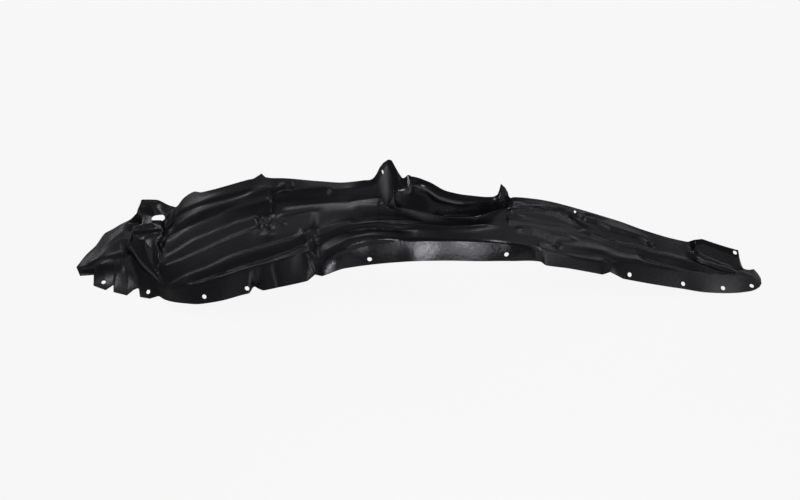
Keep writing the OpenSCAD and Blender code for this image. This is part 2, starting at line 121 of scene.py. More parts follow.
INNER_LINE = [
    [-598, 3, 0], [-585, 29, 0], [-571, 49, 0], [-553, 73, 10], [-539, 76, 17], [-524, 80, 25],
    [-508, 85, 30], [-494, 91, 40], [-489, 104, 39], [-461, 99, 41], [-440, 92, 42],
    [-427, 89, 44], [-411, 101, 54], [-394, 106, 60], [-378, 98, 64], [-344, 95, 70],
    [-297, 96, 74], [-285, 95, 75], [-271, 100, 78], [-264, 92, 75], [-233, 80, 76],
    [-168, 61, 70], [-124, 52, 66], [-93, 50, 67], [-84, 50, 66], [-78, 50, 69], [-72, 50, 78.5],
    [-70, 50.5, 83.5], [-66, 52.2, 92.9], [-60, 49.5, 105.7], [-54, 47.9, 112.7],
    [-51, 48.9, 113.5], [-46, 47.7, 112.3], [-42, 41.9, 107.1], [-35, 31.7, 97.9],
    [-29, 24.5, 91.4], [-25, 24, 92], [-20, 25, 97], [-16, 26, 97], [-13, 26, 93], [16, 16, 90],
    [46, -1, 86], [78, -6, 84], [110, -5, 82], [125, -3, 83], [131, 0, 86], [134, 3, 97],
    [136.5, 5, 107], [144, 8, 96], [149, 12, 81], [152, 20, 62], [156, 26, 52], [166, 32, 50],
    [198, 35, 50], [245, 38, 46], [293, 37, 42], [341, 36, 37], [389, 30, 33], [437, 27, 28],
    [469, 26, 26], [478, 22, 38], [492, 23, 42], [514, 18, 40], [536, 14, 37], [556, 12, 33],
    [561, 8, 14], [564, 0, 7], [567, -3, 3], [572, -4, 1], [579, -4, 0], [586, -2, 0],
    [590, -8, 0], [594, -16, 0], [596, -22, 0],
]
# first and last station of the sheet, and the number of its last guide
STATION_ENDS = (-598.0, 596.0)
LAST_GUIDE = 6
DRAWN_FLANGE = 32     # height at which the wing flange is drawn, in mm
# stretches where a guide runs straight from place to place
STRAIGHT_EDGE = [(-600, -438)]
STRAIGHT_INNER = [(-288, -260), (-72, -10), (125, 158), (469, 566)]
STRAIGHT_FOOT = [(-70, -30)]

# relief notches in the wing edge: station, depth, run on the left, run on the right
NOTCHES = [(-279, 11, 8, 16), (-175, 9, 12, 12), (327, 9, 14, 22)]
# clip holes: station and place on the guide scale
CLIP_HOLES = [
    (-547, 0.28), (-467, 0.3), (-365, 0.32), (-291, 0.22), (-83, 0.27), (147, 0.37), (361, 0.3),
    (456, 0.28), (527, 0.27), (578, 0.45), (-62, 5.4), (550, 5.6),
]
LOCATING_HOLE = (268, 4.97)
# drain slot in the raised front panel: its place as above, and in metres the radius of its ends
# and half the run between them
DRAIN_SLOT = (-455, 5.0)
SLOT_RADIUS = 0.0055
SLOT_HALF_RUN = 0.0065
# lengths of the punches, in metres: the slot's is short, to stay clear of the panel's border
HOLE_PUNCH = 0.016
SLOT_PUNCH = 0.009

# crests (above 0) and valleys (below 0): height, reach on the near side, reach on the far side,
# run-in, run-out, places the line passes through
CREASES = [
    # front of the tread
    (4.5, 15, 5, 15, 15, [
        [-436, -66], [-401, -60], [-359, -54], [-335, -47], [-318, -43], [-293, -41], [-268, -38],
        [-230, -34], [-199, -31], [-184, -30]]),
    (-3.5, 5, 9, 12, 18, [
        [-434, -60], [-401, -55], [-359, -48], [-335, -41], [-318, -37], [-278, -34], [-244, -30],
        [-218, -28], [-200, -26]]),
    (3.5, 14, 5, 8, 25, [
        [-437, -31], [-403, -27], [-369, -18], [-353, -12], [-320, -3], [-287, 3], [-268, 6]]),
    (-2.5, 5, 10, 8, 25, [
        [-437, -25], [-403, -21], [-369, -12], [-353, -6], [-320, 3], [-287, 9], [-268, 12]]),
    (2.5, 10, 4, 8, 8, [
        [-437, -13], [-412, -4], [-388, 7], [-362, 13], [-338, 21], [-313, 27], [-288, 28],
        [-276, 28]]),
    (-2.5, 4, 8, 8, 8, [
        [-437, -9], [-412, 0], [-388, 11], [-362, 17], [-338, 25], [-313, 31], [-288, 33],
        [-276, 33]]),
    (-3, 5, 4, 12, 30, [
        [-440, 26], [-423, 34], [-406, 37], [-384, 42], [-356, 49], [-331, 54], [-300, 57]]),
    (3, 6, 7, 20, 3, [[-345, 50], [-322, 54], [-283, 51], [-256, 50]]),
    (3, 9, 8, 12, 15, [
        [-425, 44], [-407, 51], [-373, 57], [-339, 63], [-296, 67], [-269, 68], [-250, 66]]),
    (-2.5, 5, 4, 6, 14, [
        [-441, 49], [-430, 60], [-417, 69], [-391, 70], [-357, 72], [-340, 73], [-300, 75],
        [-285, 75]]),
    (2.5, 4, 8, 10, 10, [[-418, 75], [-391, 75], [-348, 78], [-296, 80]]),
    (-7, 6, 12, 25, 8, [
        [-400, -73], [-358, -69], [-316, -65], [-290, -62], [-255, -58], [-217, -52],
        [-189, -42]]),
    (1.5, 4, 4, 8, 6, [
        [-366, -76], [-333, -78], [-300, -77], [-275, -74], [-247, -75], [-215, -71],
        [-191, -65]]),
    # middle of the tread
    (3.5, 9, 8, 6, 12, [[-202, -26], [-196, -25], [-159, -19], [-125, -19], [-108, -18]]),
    (2.2, 10, 9, 25, 25, [[-112, -18], [-70, -15], [-26, -21], [0, -29]]),
    (3.6, 4, 8, 5, 60, [
        [-180, -35], [-171, -34], [-150, -31], [-123, -29], [-109, -28], [-75, -29], [-44, -34],
        [-8, -36], [30, -39], [53, -40], [87, -36], [112, -30], [136, -25], [150, -21]]),
    (1.5, 2.5, 4, 8, 10, [[-75, -26], [-40, -27], [5, -30]]),
    (-5.5, 9, 5, 4, 40, [
        [-178, -41], [-167, -39], [-141, -37], [-118, -35], [-86, -34], [-40, -40], [0, -44]]),
    (3, 6, 8, 15, 60, [[-165, -64], [-135, -59], [-105, -52], [-75, -49], [-40, -47], [-10, -46]]),
    (2.5, 3, 6, 10, 4, [
        [-240, 19], [-213, 20], [-150, 24], [-125, 19], [-100, 23], [-74, 18], [-61, 22]]),
    (-5, 4, 4, 3, 5, [[-254, 62], [-251, 52], [-250, 45], [-253, 27]]),
    (-3.5, 2.6, 2.6, 4, 3, [[-274, 30], [-270, 8]]),
    (-3.5, 2.6, 2.6, 4, 3, [[-265, 29], [-261, 7]]),
    (-4, 2.8, 2.8, 4, 3, [[-258, 28], [-252, 0]]),
    (1.3, 2.5, 2.5, 3, 3, [[-249, 21], [-229, 1]]),
    (1.3, 2.5, 2.5, 3, 3, [[-239, 18], [-229, 1]]),
    # rear of the tread
    (3.2, 6, 6, 6, 15, [
        [148, -13], [164, -11], [192, -8], [215, -8], [239, -6], [263, -4], [281, -2], [295, -4]]),
    (3.2, 6, 4, 15, 20, [[160, -26], [192, -20], [215, -23], [238, -22], [273, -19]]),
    (3.2, 5, 3.5, 5, 25, [
        [153, 8], [193, 21], [217, 25], [233, 24], [248, 20], [264, 14], [279, 3], [295, -3],
        [319, -8], [342, -10], [380, -8], [406, -11], [432, -10], [458, -12], [483, -15],
        [509, -21], [542, -28]]),
    (-2, 3, 8, 30, 60, [
        [233, 30], [248, 26], [264, 20], [279, 9], [295, 3], [319, -2], [342, -4], [380, -2],
        [406, -5], [432, -4]]),
    (3.8, 6, 10, 10, 6, [
        [232, -42], [261, -37], [282, -33], [301, -31], [317, -31], [333, -35], [353, -35],
        [379, -31], [404, -33], [430, -33], [448, -35], [460, -38], [471, -42]]),
    (-2, 8, 4, 30, 6, [
        [282, -39], [301, -37], [317, -37], [333, -41], [353, -41], [379, -37], [404, -39],
        [430, -39], [448, -41]]),
    (2.5, 5, 8, 4, 10, [[200, -50], [222, -55], [245, -57], [277, -57], [301, -57], [320, -55]]),
    (1.5, 2.5, 6, 4, 4, [
        [262, 27], [273, 30], [281, 28], [285, 22], [307, 24], [317, 22], [328, 18], [344, 18],
        [361, 17], [382, 17], [396, 14], [405, 2]]),
    (-4.2, 6, 6, 20, 20, [[375, -20], [396, -23], [431, -25], [465, -25], [500, -27], [532, -31]]),
    (-3, 4, 3, 4, 12, [[487, -8], [527, -14], [553, -18]]),
    (1.2, 3, 4, 8, 20, [[162, 19], [174, 21], [188, 24], [224, 29], [256, 32]]),
    (-3, 4, 4, 2, 4, [[332, -56], [328, -49], [321, -44]]),
    # apron
    (2.2, 8, 12, 12, 8, [[-580, 4], [-573, 6], [-547, 14], [-515, 23]]),
    (-1.2, 8, 8, 12, 8, [[-568, 1], [-547, 7], [-518, 13]]),
    (2.2, 8, 7, 10, 10, [[-562, -7], [-558, -4], [-546, -1], [-524, 1], [-513, 2]]),
    (1, 5, 5, 6, 6, [[-530, -40], [-524, -21]]),
    # front panel
    (4, 15, 15, 10, 10, [[-474, 108], [-464, 84], [-460, 70], [-466, 46]]),
    (-2.2, 4, 4, 8, 8, [[-503, 30], [-508, 21], [-515, 11], [-516, 3], [-508, -9]]),
    (3.5, 16, 12, 14, 10, [[-476, 34], [-473, 12], [-467, -8], [-457, -30], [-449, -42]]),
]
# bosses and dents: height, middle, half sizes along and across, 1 for a pointed one
BOSSES = [
    (9, (-229, 63), (15, 11), 1),
    (3, (-257, -14), (12, 8), 0),
    (1.5, (170, 1), (10, 4), 0),
    (-2.5, (226, -39), (9, 4), 0),
    (-3, (484, -5), (5, 4), 0),
    (-2, (525, -3), (4, 3), 0),
]
# raised fields and pockets: height, width of the edge, corners
FIELDS = [
    (4, 4, [
        [-246, 46], [-211, 43], [-168, 38], [-154, 36], [-150, 42], [-158, 46], [-208, 54],
        [-243, 58]]),
    (-5, 5, [
        [259, 20], [262, 25], [273, 28], [280, 26], [284, 20], [307, 22], [317, 20], [328, 16],
        [344, 16], [361, 15], [382, 15], [395, 12], [403, 1], [382, 4], [351, 0], [327, -1],
        [300, 4], [279, 6], [268, 12]]),
    (-3, 3, [[283, 30], [293, 24], [311, 27], [322, 32], [305, 35]]),
]
# border of the raised front panel, in plan, and the width of its slope
PANEL = [
    [-484, 125], [-490, 103], [-493, 91], [-486, 72], [-486, 60], [-499, 57], [-501, 44],
    [-498, 32], [-504, 21], [-511, 11], [-512, 3], [-502, -10], [-491, -21], [-472, -40],
    [-453, -54], [-438, -61], [-443, -48], [-451, -32], [-445, -21], [-444, -2], [-451, 17],
    [-443, 30], [-442, 43], [-446, 60], [-438, 67], [-428, 85], [-418, 125],
]
PANEL_EDGE = 8
# forms laid on the skin itself: height, reach below, reach above, run-in, run-out, and a path of
# stations and places on the guide scale
SKIN_FORMS = [
    (2.4, 4, 5, 10, 30, [[-12, 5.0], [20, 4.98], [46, 4.95], [75, 4.93], [100, 4.9]]),
    (1.2, 2.5, 3, 8, 12, [[-48, 3.4], [0, 3.4], [70, 3.4], [148, 3.2]]),
    (1.5, 3, 3, 4, 4, [[-53, 5.9], [-44, 4.95], [-51, 3.6]]),
    (-3, 4, 4, 3, 8, [[-280, 0.0], [-270, 0.45], [-268, 0.9]]),
    (-2, 3, 3, 3, 3, [[-244, 0.85], [-236, 0.0]]),
    (2, 4, 4, 3, 3, [[-188, 0.95], [-176, 0.2]]),
]
# highlights painted pale along bends and on planes where lamps would glint: strength, half width,
# and a path like the ones above
PAINTED_HIGHLIGHT_LINES = [
    (0.35, 5, [[-52, 3.5], [147, 3.5]]),
    (0.45, 1.0, [[-12, 5.2], [0, 5.0], [18, 5.0], [35, 4.98], [51, 4.95], [75, 4.92]]),
    (0.3, 1.2, [[-25, 4.8], [-15, 4.85], [-13, 5.4]]),
    (0.6, 8, [[-62, 5.5], [-57, 4.6], [-53.5, 3.95]]),
    (0.6, 1.8, [
        [-233, 3.33], [-203, 3.23], [-158, 3.0], [-124, 2.95], [-115, 2.92], [-102, 3.0],
        [-91, 2.97], [-69, 3.02], [-60, 3.5]]),
    (0.3, 0.8, [[486, 4.6], [488, 4.15], [500, 4.05], [520, 4.05], [548, 4.05]]),
    (0.22, 1.1, [
        [-444, 2.08], [-468, 2.08], [-490, 2.1], [-503, 2.25], [-508, 2.6], [-506, 3.3],
        [-499, 3.8], [-489, 4.1]]),
    (0.4, 1.5, [[-547, 2.45], [-531, 2.25], [-514, 2.18]]),
]
# glossy zones: strength, station and run of the start, station and run of the end, and a place on
# the guide scale with the steepness there, above 0 where the zone lies beyond that place
GLOSS_ZONES = [
    (0.5, (-515, 8), (-448, 10), (2.0, 4)),       # raised front panel
    (1.0, (-62, 12), (150, 8), (3.0, 6)),         # recess wall
    (1.0, (-175, 10), (190, 20), (1.5, -2.5)),    # wing flange
    (0.4, (-160, 120), (60, 120), (3.0, -3)),     # middle of the tread
    (1.0, (470, 8), (560, 6), (4.0, 6)),          # bracket on the rear tongue
    (0.5, (-606, 8), (-500, 36), (1.2, -2)),      # apron
]

# how full the section of a crease, and of a form on the skin, is
CREASE_POWER = 1.4
SKIN_POWER = 1.7
END_MARGIN = 2        # how far the ends of a crease run past its path, in mm
GUIDE_MM = 20.0       # one step of the guide scale, where distances on the skin are measured
PAINTED_HIGHLIGHT_RUN = 12       # run-in and run-out of a painted highlight line, in mm
CREST_BEND = 0.12     # bend, in radians for each mm, that counts as a full crest
OUTWARD = np.array([0, -0.3, 0.95])    # the side to which a fold counts as a crest
NORMAL_STEP = (1.5, 0.04)    # half steps for a normal, in mm and on the guide scale
SHARP_ANGLE = math.radians(50)    # folds sharper than this are drawn as edges

# where the rows of faces crowd: station, reach, weight
STATION_CROWD = [
    (-565, 5, 3), (-525, 8, 2), (-500, 14, 4), (-458, 22, 1.6), (-279, 12, 1), (-180, 12, 1.5),
    (-50, 30, 1.5), (145, 15, 2), (205, 8, 2), (480, 8, 2), (555, 10, 2),
]
# stations that a row of faces has to follow, because a guide line turns a corner there
CORNER_STATIONS = (
    -590, -566, -564, -542, -529.5, -528, -504, -494, -487, -484, -481, -464, -448, -438, -279,
    -271, -264, -175, -70, -66, -60, -54, -52, -48, -43, -40, -13, 131, 134, 136.5, 205, 327, 478,
    556, 561, 586,
)
# rows of faces across: from and to on the guide scale, number of rows
ACROSS_SPANS = [(0, 1, 11), (1, 2, 8), (2, 3, 37), (3, 4, 10), (4, 5, 14), (5, 6, 13)]

# lamps: name, place, aim and size in metres, power in watts
LAMPS = [
    ("front_box", (0.0, -1.24, 0.42), (0.02, -0.07, 0.14), (0.13, 0.28), 1.8),
    ("left_front_box", (-0.535, -1.2, 1.03), (-0.115, -0.06, 0.145), (0.14, 0.14), 0.2),
    ("side_front_box", (0.37, -1.24, 0.58), (0.1, -0.07, 0.14), (0.1, 0.09), 0.8),
    ("haze_box", (0.4, -1.26, 0.4), (0.1, -0.07, 0.14), (0.46, 0.28), 1.4),
    ("panel_box", (-0.67, 0.7, 2.14), (-0.47, 0.0, 0.05), (0.42, 0.4), 5.5),
    ("back_left_box", (-1.61, 1.47, 0.78), (-0.37, 0.07, 0.08), (0.5, 0.4), 4.6),
    ("back_right_box", (1.5, 1.35, 1.0), (0.4, 0.0, 0.08), (0.5, 0.4), 3.4),
    ("left_side_box", (-1.75, 0.0, 1.7), (-0.47, 0.0, 0.05), (0.45, 0.45), 0.7),
    ("right_top_box", (1.25, -0.2, 2.1), (0.4, 0.0, 0.1), (0.5, 0.3), 7.0),
]
WHITE = (1.0, 1.0, 1.0, 1.0)
ROOM_COLOUR = (0.5, 0.5, 0.5, 1.0)
ROOM_STRENGTH = 0.21
FLOOR_HALF = 6.0       # half the floor's side, in metres
FLOOR_GAP = 0.0005     # how far the floor lies under the part, in metres
FLOOR_SHADE = 0.75     # share of its colour with which the floor takes light
FLOOR_GLOW = 0.9       # share of plain white in what the camera sees of the floor
FRAME_WIDTH = 36.0     # width of the camera's frame, in mm
VIEW_END = 50          # furthest distance the camera sees, in metres


# The sheet as a function of place

def soft(t):
    """Smooth step from 0 to 1."""
    t = np.clip(t, 0.0, 1.0)
    return t * t * (3 - 2 * t)


def window(t, start, run_in, end, run_out):
    """1 between start and end, fading from 0 over run_in and back to 0 over run_out."""
    return soft((t - start) / run_in) * soft((end - t) / run_out)


def bulge(v, start):
    """Half wave over one step of the guide scale, from start."""
    return np.sin(np.pi * np.clip(v - start, 0, 1))


def smooth_line(rows, x, column, straight=()):
    """Cubic through a guide line's places, without overshoot between them."""
    rows = np.asarray(rows, float)
    slope = np.diff(rows[:, column]) / np.diff(rows[:, 0])
    tangent = np.empty(len(rows))
    tangent[0], tangent[-1] = slope[0], slope[-1]
    before, after = slope[:-1], slope[1:]
    total = before + after
    safe = np.where(before * after > 0, total, 1.0)
    tangent[1:-1] = np.where(before * after > 0, 2 * before * after / safe, 0.0)
    i = np.clip(np.searchsorted(rows[:, 0], x, side="right") - 1, 0, len(rows) - 2)
    run = rows[i + 1, 0] - rows[i, 0]
    s = np.clip((x - rows[i, 0]) / run, 0, 1)
    r = 1 - s
    line = (rows[i, column] * (1 + 2 * s) * r * r + tangent[i] * run * s * r * r
            + rows[i + 1, column] * s * s * (3 - 2 * s) - tangent[i + 1] * run * s * s * r)
    for start, end in straight:
        within = (x >= start) & (x <= end)
        line = np.where(within, np.interp(x, rows[:, 0], rows[:, column]), line)
    return line


def arch_height(x, shape):
    """Height of the arch line over the floor."""
    turn = np.minimum(1, np.abs(x - shape.arch_offset / MM) / (shape.arch_run / MM))
    return shape.arch_rise / MM * (1 + np.cos(np.pi * turn)) / 2


def notch_bite(x):
    """How far the relief notches cut into the wing edge."""
    bite = np.zeros_like(x)
    for middle, depth, left, right in NOTCHES:
        off = np.abs(x - middle) / np.where(x < middle, left, right)
        bite = np.maximum(bite, depth * np.maximum(0, 1 - off))
    return bite


def line_distance(x, y, path):
    """Distance to a path, its side (above 0 on the far one), the run to there, and its length."""
    path = np.asarray(path, float)
    best = np.full(x.shape, 1e9)
    side = np.ones_like(x)
    run = np.zeros_like(x)
    before = 0.0
    for start, end in zip(path[:-1], path[1:]):
        step = end - start
        length = float(np.hypot(*step))
        along = ((x - start[0]) * step[0] + (y - start[1]) * step[1]) / length ** 2
        along = np.clip(along, 0, 1)
        off_x = x - start[0] - along * step[0]
        off_y = y - start[1] - along * step[1]
        off = np.hypot(off_x, off_y)
        near = off < best
        turn = step[0] * (y - start[1]) - step[1] * (x - start[0])
        best = np.where(near, off, best)
        side = np.where(near, np.where(turn >= 0, 1.0, -1.0), side)
        run = np.where(near, before + along * length, run)
        before += length
    return best, side, run, before


def skin_distance(x, v, path):
    """line_distance for a path of stations and places on the guide scale."""
    x, w = np.broadcast_arrays(x, v * GUIDE_MM)
    return line_distance(x, w, np.array(path) * (1.0, GUIDE_MM))


def ridge(distance, height, near, far, run_in, run_out, power):
    """Height of a crest or valley, from what line_distance gives for its path."""
    off, side, run, length = distance
    reach = np.where(side > 0, far, near)
    ends = window(run, -END_MARGIN, run_in, length + END_MARGIN, run_out)
    return height * ends * np.exp(-np.abs(off / reach) ** power)


def inside_field(x, y, corners):
    """Distance inwards from the border of a field, below 0 outside it."""
    best, _, _, _ = line_distance(x, y, list(corners) + [corners[0]])
    inside = np.zeros(x.shape, bool)
    for (x0, y0), (x1, y1) in zip(corners, corners[1:] + corners[:1]):
        crosses = (y0 > y) != (y1 > y)
        at = x0 + (y - y0) / np.where(y1 == y0, 1e-9, y1 - y0) * (x1 - x0)
        inside ^= crosses & (x < at)
    return np.where(inside, best, -best)


def field_rise(x, y, corners, edge):
    """1 inside a field and 0 outside it, with a soft edge of the given width."""
    return soft(inside_field(x, y, corners) / edge + 0.5)


def panel_lift(x, y, shape):
    """Height of the raised front panel: more towards the inner edge, less beside the tread."""
    rise = field_rise(x, y, PANEL, PANEL_EDGE)
    height = shape.panel_height / MM * (0.4 + 0.75 * soft((y + 60) / 100)) + 4 * soft((y - 36) / 7)
    return rise * height * (1 - 0.75 * soft((x + 460) / 34))


def pressed_height(x, y):
    """Sum of the crests, valleys, bosses and fields at a place."""
    total = np.zeros_like(x)
    for *form, path in CREASES:
        total += ridge(line_distance(x, y, path), *form, CREASE_POWER)
    for height, (middle_x, middle_y), (half_x, half_y), pointed in BOSSES:
        off = np.hypot((x - middle_x) / half_x, (y - middle_y) / half_y)
        total += height * (np.maximum(0, 1 - off) ** 1.2 if pointed else np.exp(-off ** 2))
    for height, edge, corners in FIELDS:
        total += height * field_rise(x, y, corners, edge)
    return total


def guide_places(x, shape):
    """The seven guides at each station: edge, fold, lip, shoulder, foot, head and inner edge."""
    arch = arch_height(x, shape)
    flange = shape.flange_height / MM / DRAWN_FLANGE
    places = [(smooth_line(EDGE_LINE, x, 1, STRAIGHT_EDGE) + notch_bite(x),
               arch + smooth_line(EDGE_LINE, x, 2, STRAIGHT_EDGE))]
    for line in (FOLD_LINE, LIP_LINE):
        places.append((smooth_line(line, x, 1), arch + flange * smooth_line(line, x, 2)))
    for line, straight in ((SHOULDER_LINE, STRAIGHT_FOOT), (FOOT_LINE, STRAIGHT_FOOT),
                           (HEAD_LINE, STRAIGHT_INNER), (INNER_LINE, STRAIGHT_INNER)):
        places.append((smooth_line(line, x, 1, straight),
                       arch + smooth_line(line, x, 2, straight)))
    return np.array(places)


def sheet_face(x, v, shape):
    """Places on the upper face, in mm, for stations x and places v on the guide scale."""
    x, v = np.broadcast_arrays(np.asarray(x, float), np.asarray(v, float))
    guides = guide_places(x, shape)
    below = np.minimum(LAST_GUIDE - 1, np.floor(v)).astype(int)
    s = v - below
    low = np.take_along_axis(guides, below[None, None], 0)[0]
    high = np.take_along_axis(guides, below[None, None] + 1, 0)[0]
    y = low[0] + (high[0] - low[0]) * s
    # the apron is hollow up to its fold
    hollow = 1 + 0.9 * soft((-465 - x) / 25) * (v < 1)
    z = low[1] + (high[1] - low[1]) * s ** hollow
    # the flange and its fold are full along the middle plate
    belly = 0.6 * bulge(v, 0) * window(x, -150, 40, 205, 30)
    belly = belly + 1.8 * bulge(v, 1) * window(x, -165, 25, -10, 60)
    y = y - 0.85 * belly
    z = z + 0.5 * belly
    z = z + np.where(v >= 2, panel_lift(x, y, shape), 0)
    # the pressed forms fade towards both edges, and on the recess wall
    wall = window(x, -75, 12, 156, 6) * soft((v - 3.0) * 5)
    start = np.where(x < -442, soft(v / 0.4), soft((v - 0.9) / 0.8))
    fade = start * soft((5.9 - v) / 0.5) * (1 - wall)
    z = z + np.where(fade > 0, pressed_height(x, y) * shape.rib_share * fade, 0)
    return np.stack([x, y, z], -1)


def formed_places(stations, across, shape):
    """The grid of places on the upper face, with the forms that are laid on the skin itself."""
    places = sheet_face(stations[:, None], across[None, :], shape)
    normal = np.cross(np.gradient(places, axis=0), np.gradient(places, axis=1))
    normal /= np.linalg.norm(normal, axis=-1, keepdims=True) + 1e-12
    lift = np.zeros(places.shape[:2])
    for *form, path in SKIN_FORMS:
        distance = skin_distance(stations[:, None], across[None, :], path)
        lift += ridge(distance, *form, SKIN_POWER)
    return places + normal * lift[..., None]


def face_normal(x, v, shape):
    """Unit normal of the upper face."""
    step_x, step_v = NORMAL_STEP
    ahead = sheet_face(np.clip(x + step_x, *STATION_ENDS), v, shape)
    behind = sheet_face(np.clip(x - step_x, *STATION_ENDS), v, shape)
    inner = sheet_face(x, np.clip(v + step_v, 0, LAST_GUIDE), shape)
    outer = sheet_face(x, np.clip(v - step_v, 0, LAST_GUIDE), shape)
    normal = np.cross(ahead - behind, inner - outer)
    return normal / np.linalg.norm(normal, axis=-1, keepdims=True)


# Zones that the finish reads, from 0 to 1, two of them for painted highlights

def gloss_zone(x, v):
    """1 where the sheet was drawn smooth and glossy, 0 where it is satin."""
    gloss = 0.0
    for strength, (start, run_in), (end, run_out), (border, steepness) in GLOSS_ZONES:
        beyond = soft((v - border) * abs(steepness))
        side = beyond if steepness > 0 else 1 - beyond
        along = soft((x - start) / run_in)
        gloss = np.maximum(gloss, strength * along * (1 - soft((x - end) / run_out)) * side)
    return gloss


def crest_zone(places):
    """How sharply the sheet is folded outwards; the finish paints a highlight on these crests."""
    sharpest = np.zeros(places.shape[:2])
    for axis in (0, 1):
        into = places - np.roll(places, 1, axis)
        onward = np.roll(places, -1, axis) - places
        into_run = np.linalg.norm(into, axis=-1) + 1e-9
        onward_run = np.linalg.norm(onward, axis=-1) + 1e-9
        turn = onward / onward_run[..., None] - into / into_run[..., None]
        bend = -(turn / ((into_run + onward_run) / 2)[..., None] @ OUTWARD)
        np.swapaxes(bend, 0, axis)[[0, -1]] = 0
        sharpest = np.maximum(sharpest, bend)
    return np.clip(sharpest / CREST_BEND, 0, 1)


def painted_highlight_zone(x, v):
    """How strongly a highlight is painted pale along the painted highlight lines."""
    pale = 0.0
    for strength, width, path in PAINTED_HIGHLIGHT_LINES:
        off, _, run, length = skin_distance(x, v, path)
        ends = window(run, -END_MARGIN, PAINTED_HIGHLIGHT_RUN, length + END_MARGIN, PAINTED_HIGHLIGHT_RUN)
        pale = np.maximum(pale, strength * ends * np.exp(-(off / width) ** 2))
    return pale


# Settings

class LinerShape(bpy.types.PropertyGroup):
    """Sizes of the sheet, its forms and its holes"""

    thickness: bpy.props.FloatProperty(
        name="Thickness", description="Thickness of the sheet",
        default=0.002, min=0.001, max=0.004, unit="LENGTH")
    arch_rise: bpy.props.FloatProperty(
        name="Arch rise", description="Rise of the wing edge at the middle of the arch",
        default=0.118, unit="LENGTH")
    arch_run: bpy.props.FloatProperty(
        name="Arch run", description="Run from the crown of the arch to the floor",
        default=0.58, unit="LENGTH")
    arch_offset: bpy.props.FloatProperty(
        name="Crown offset", description="Offset of the crown from the middle of the part",
        default=0.022, unit="LENGTH")
    flange_height: bpy.props.FloatProperty(
        name="Flange height", description="Height of the wing flange at the crown",
        default=0.032, unit="LENGTH")
    panel_height: bpy.props.FloatProperty(
        name="Panel height", description="Height of the raised front panel above the apron",
        default=0.014, unit="LENGTH")
    rib_share: bpy.props.FloatProperty(
        name="Rib height share", description="Height of the ribs as a share of the drawn height",
        default=1.0, min=0, max=2, subtype="FACTOR")
    hole_diameter: bpy.props.FloatProperty(
        name="Clip hole", description="Diameter of the clip holes",
        default=0.008, unit="LENGTH")
    locating_diameter: bpy.props.FloatProperty(
        name="Locating hole", description="Diameter of the small hole at the rear",
        default=0.005, unit="LENGTH")
    rows_along: bpy.props.IntProperty(
        name="Rows along", description="Rows of faces along the sheet", default=500, min=50)


class LinerFinish(bpy.types.PropertyGroup):
    """Colour and roughness of the plastic"""

    plastic: bpy.props.FloatVectorProperty(
        name="Plastic", description="Colour of the plastic", subtype="COLOR", size=4,
        default=(0.0055, 0.0052, 0.0064, 1.0), min=0, max=1)
    satin: bpy.props.FloatProperty(
        name="Satin roughness", description="Roughness of the ribbed areas",
        default=0.42, min=0, max=1, subtype="FACTOR")
    gloss: bpy.props.FloatProperty(
        name="Gloss roughness", description="Roughness of the areas drawn smooth over the mould",
        default=0.2, min=0, max=1, subtype="FACTOR")


class LinerStage(bpy.types.PropertyGroup):
    """Floor and camera"""

    floor: bpy.props.FloatVectorProperty(
        name="Floor", description="Colour of the floor and backdrop", subtype="COLOR", size=4,
        default=WHITE, min=0, max=1)
    elevation: bpy.props.FloatProperty(
        name="Camera elevation", description="Angle the camera looks down at",
        default=math.radians(50), unit="ROTATION")
    distance: bpy.props.FloatProperty(
        name="Camera distance", description="Distance from the camera to the liner",
        default=3.2, unit="LENGTH")
    lens: bpy.props.FloatProperty(
        name="Lens", description="Focal length for a 36 mm wide frame",
        default=84.7, unit="CAMERA")


# Shaders

class Val:
    """A number socket that takes Python's operators."""

    def __init__(self, shader, socket):
        self.shader = shader
        self.socket = socket

    def _math(self, operation, a, b):
        return self.shader.value(
            self.shader.node("ShaderNodeMath", {"operation": operation}, i0=a, i1=b))

    def __add__(self, other):
        return self._math("ADD", self, other)

    __radd__ = __add__

    def __mul__(self, other):
        return self._math("MULTIPLY", self, other)

    __rmul__ = __mul__

    def __sub__(self, other):
        return self._math("SUBTRACT", self, other)

    def __rsub__(self, other):
        return self._math("SUBTRACT", other, self)

    def clamp(self):
        """Keep the number between 0 and 1."""
        return self._math("MINIMUM", self._math("MAXIMUM", self, 0.0), 1.0)


class Shader:
    """The node tree of a material or of the world, with one method that adds any node."""

    def __init__(self, owner):
        owner.use_nodes = True
        self.owner = owner
        self.tree = owner.node_tree
        self.tree.nodes.clear()

    def node(self, kind, settings=None, **sockets):
        """Add a node. A socket is given by its name with _ for a space, or as i and its number."""
        node = self.tree.nodes.new(kind)
        for key, value in (settings or {}).items():
            setattr(node, key, value)
        for key, value in sockets.items():
            slot = node.inputs[int(key[1:]) if key[1:].isdigit() else key.replace("_", " ")]
            if isinstance(value, Val):
                self.tree.links.new(value.socket, slot)
            elif isinstance(value, bpy.types.NodeSocket):
                self.tree.links.new(value, slot)
            else:
                slot.default_value = value
        return node

    def value(self, node, output=0):
        """A node's output, as a number that takes operators."""
        return Val(self, node.outputs[output])

    def mixed_colour(self, share, low, high):
        """Colour from low to high: sockets 6 and 7 of the node are its two colours."""
        node = self.node("ShaderNodeMix", {"data_type": "RGBA"}, Factor=share, i6=low, i7=high)
        return node.outputs[2]


